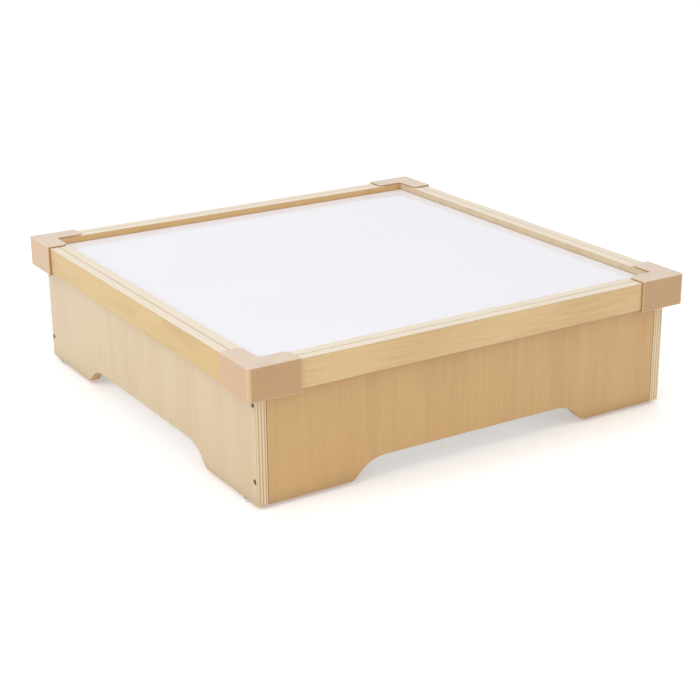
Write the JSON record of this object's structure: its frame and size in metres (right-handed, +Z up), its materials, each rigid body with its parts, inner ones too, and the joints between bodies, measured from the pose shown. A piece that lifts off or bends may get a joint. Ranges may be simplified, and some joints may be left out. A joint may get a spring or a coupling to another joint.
{
  "type": "low light table",
  "caption": "Low square birch plywood light table with arched panels, an opal lift-out top sheet, soft corner guards, and a switch and inlet at the back.",
  "frame": {"origin": "on the floor, under the middle of the box", "axes": "+X along the front to the viewer's right, +Y from the front to the back, +Z up"},
  "size_m": [0.681, 0.681, 0.1922],
  "materials": {
    "birch_panel": "clear satin lacquer",
    "birch_trim": "clear satin lacquer",
    "guard_plastic": "soft satin",
    "opal_acrylic": "gloss",
    "pine_strip": "planed",
    "white_board": "white-faced",
    "glide_plastic": "satin",
    "dark_steel": "black oxide",
    "aluminium": "anodised",
    "led_board": "white solder mask",
    "black_plastic": "moulded satin",
    "lead_jacket": "matte"
  },
  "bodies": {
    "table": {"base_board": "white_board", "base_cleat_back": "pine_strip", "base_cleat_front": "pine_strip", "base_cleat_left": "pine_strip", "base_cleat_right": "pine_strip", "base_screw_back_left": "dark_steel", "base_screw_back_right": "dark_steel", "base_screw_front_left": "dark_steel", "base_screw_front_right": "dark_steel", "base_screw_left": "dark_steel", "base_screw_right": "dark_steel", "corner_guard_left_back": "guard_plastic", "corner_guard_left_front": "guard_plastic", "corner_guard_right_back": "guard_plastic", "corner_guard_right_front": "guard_plastic", "corner_screw_left_back_high": "dark_steel", "corner_screw_left_back_low": "dark_steel", "corner_screw_left_front_high": "dark_steel", "corner_screw_left_front_low": "dark_steel", "corner_screw_right_back_high": "dark_steel", "corner_screw_right_back_low": "dark_steel", "corner_screw_right_front_high": "dark_steel", "corner_screw_right_front_low": "dark_steel", "glide_left_back": "glide_plastic", "glide_left_front": "glide_plastic", "glide_right_back": "glide_plastic", "glide_right_front": "glide_plastic", "inlet_jack": "black_plastic", "lead_jack_to_switch": "lead_jacket", "lead_jumper_1": "lead_jacket", "lead_jumper_2": "lead_jacket", "lead_jumper_3": "lead_jacket", "lead_switch_to_bars": "lead_jacket", "led_channel_1": "aluminium", "led_channel_2": "aluminium", "led_channel_3": "aluminium", "led_channel_4": "aluminium", "led_strip_1": "led_board", "led_strip_2": "led_board", "led_strip_3": "led_board", "led_strip_4": "led_board", "ledger_back": "pine_strip", "ledger_front": "pine_strip", "ledger_left": "pine_strip", "ledger_right": "pine_strip", "panel_back": "birch_panel", "panel_front": "birch_panel", "panel_left": "birch_panel", "panel_right": "birch_panel", "plate_screw_left": "dark_steel", "plate_screw_right": "dark_steel", "power_plate": "black_plastic", "switch_body": "black_plastic", "trim_back": "birch_trim", "trim_front": "birch_trim", "trim_left": "birch_trim", "trim_right": "birch_trim"},
    "sheet": {"top_sheet": "opal_acrylic"},
    "rocker": {"switch_rocker": "black_plastic"}
  },
  "joints": [
    {"name": "sheet_lift", "type": "slide", "parent": "table", "child": "sheet", "axis": [0, 0, 1], "range_m": [0, 0.06]},
    {"name": "rocker_tilt", "type": "hinge", "parent": "table", "child": "rocker", "pos_m": [0.17, 0.3246, 0.0998], "axis": [1, 0, 0], "range_deg": [0, 20]}
  ]
}
